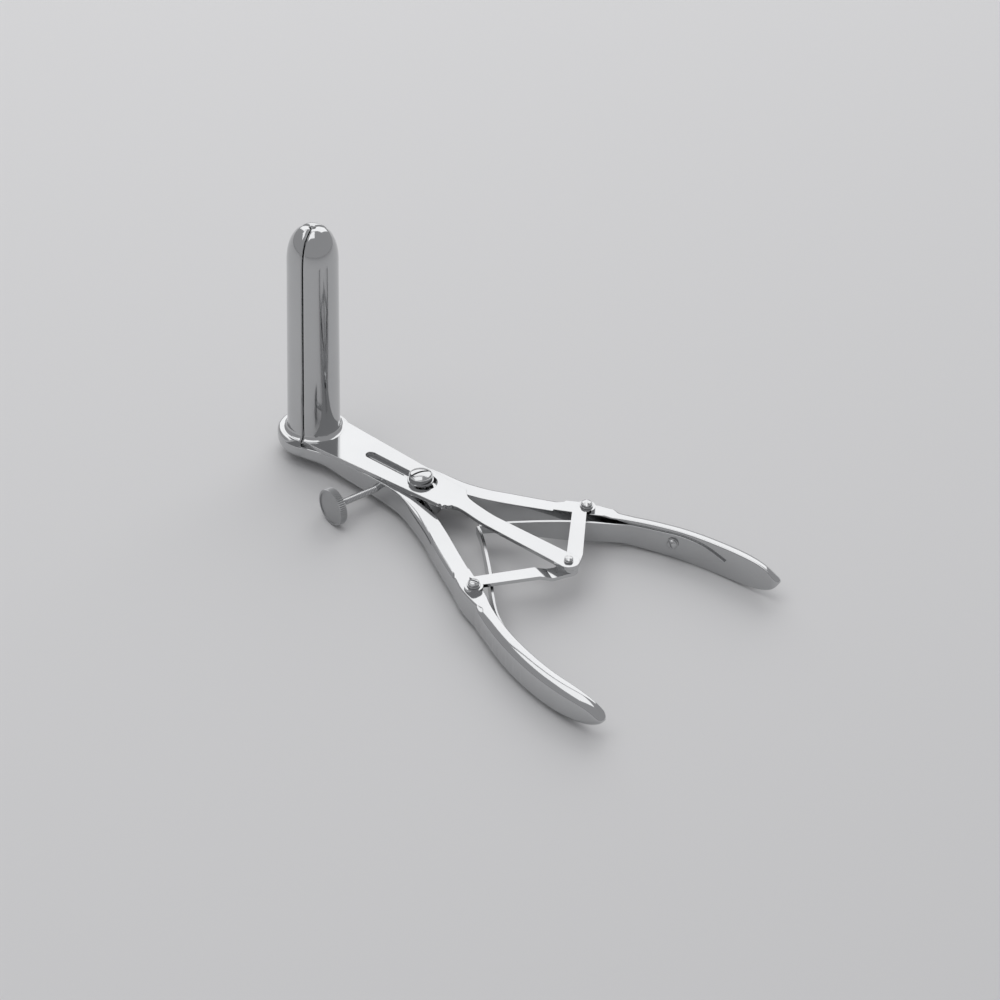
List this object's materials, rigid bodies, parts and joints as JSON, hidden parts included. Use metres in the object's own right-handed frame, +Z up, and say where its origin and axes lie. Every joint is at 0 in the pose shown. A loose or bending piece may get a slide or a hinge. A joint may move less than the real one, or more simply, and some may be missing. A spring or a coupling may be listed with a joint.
{
  "type": "rectal speculum",
  "caption": "Polished steel spreading speculum: blades that close to a domed tube, sliding plate, plier handles with links, leaf springs and a knurled lock screw.",
  "frame": {"origin": "middle of the bounding box on the ground that the handles lie on", "axes": "+X from the blades to the handles, +Y to the handle opposite the lock screw, +Z up along the closed blades"},
  "size_m": [0.2001, 0.1128, 0.11],
  "materials": {
    "lever_steel": "mirror-polished stainless steel",
    "spring_steel": "polished spring steel",
    "screw_steel": "polished turned stainless steel",
    "knob_steel": "knurled satin stainless steel"
  },
  "bodies": {
    "pivot": {"pivot_screw": "screw_steel"},
    "slide": {"centre_slide": "lever_steel", "tail_pin": "screw_steel"},
    "near_lever": {"near_lever": "lever_steel", "near_link_screw": "screw_steel", "near_spring": "spring_steel", "near_spring_screw": "screw_steel"},
    "far_lever": {"far_lever": "lever_steel", "far_link_screw": "screw_steel", "far_spring": "spring_steel", "far_spring_screw": "screw_steel"},
    "near_link": {"near_link": "lever_steel"},
    "far_link": {"far_link": "lever_steel"},
    "lock_screw": {"lock_screw": "screw_steel"},
    "lock_knob": {"lock_knob": "knob_steel"}
  },
  "joints": [
    {"name": "near_lever_turn", "type": "hinge", "parent": "pivot", "child": "near_lever", "pos_m": [-0.03095, 0, 0.0139], "axis": [0, 0, 1], "range_deg": [0, 16], "stiffness_Nm_per_rad": 0.3, "springref_deg": -11.46, "deforming": ["near_spring"]},
    {"name": "far_lever_turn", "type": "hinge", "parent": "pivot", "child": "far_lever", "pos_m": [-0.03095, 0, 0.0139], "axis": [0, 0, -1], "range_deg": [0, 16], "deforming": ["far_spring"]},
    {"name": "centre_slide", "type": "slide", "parent": "pivot", "child": "slide", "axis": [1, 0, 0], "range_m": [0, 0.0246]},
    {"name": "near_link_turn", "type": "hinge", "parent": "near_lever", "child": "near_link", "pos_m": [0.02345, -0.0333, 0.0155], "axis": [0, 0, -1], "range_deg": [0, 52.4]},
    {"name": "far_link_turn", "type": "hinge", "parent": "far_lever", "child": "far_link", "pos_m": [0.02345, 0.0333, 0.0155], "axis": [0, 0, 1], "range_deg": [0, 52.4]},
    {"name": "lock_advance", "type": "slide", "parent": "near_lever", "child": "lock_screw", "axis": [0.2164, 0.9763, 0], "range_m": [-0.0021, 0.0035]},
    {"name": "lock_turn", "type": "hinge", "parent": "lock_screw", "child": "lock_knob", "pos_m": [-0.04545, -0.0091, 0.0139], "axis": [0.2164, 0.9763, 0], "range_deg": [-1090, 1810]}
  ],
  "couplings": [
    {"joint": "far_lever_turn", "follows": "near_lever_turn", "ratio": 1},
    {"joint": "centre_slide", "follows": "near_lever_turn", "m_per_rad": 0.08808},
    {"joint": "near_link_turn", "follows": "near_lever_turn", "ratio": 3.262},
    {"joint": "far_link_turn", "follows": "near_lever_turn", "ratio": 3.262},
    {"joint": "lock_turn", "follows": "lock_advance", "rad_per_m": 8976}
  ]
}
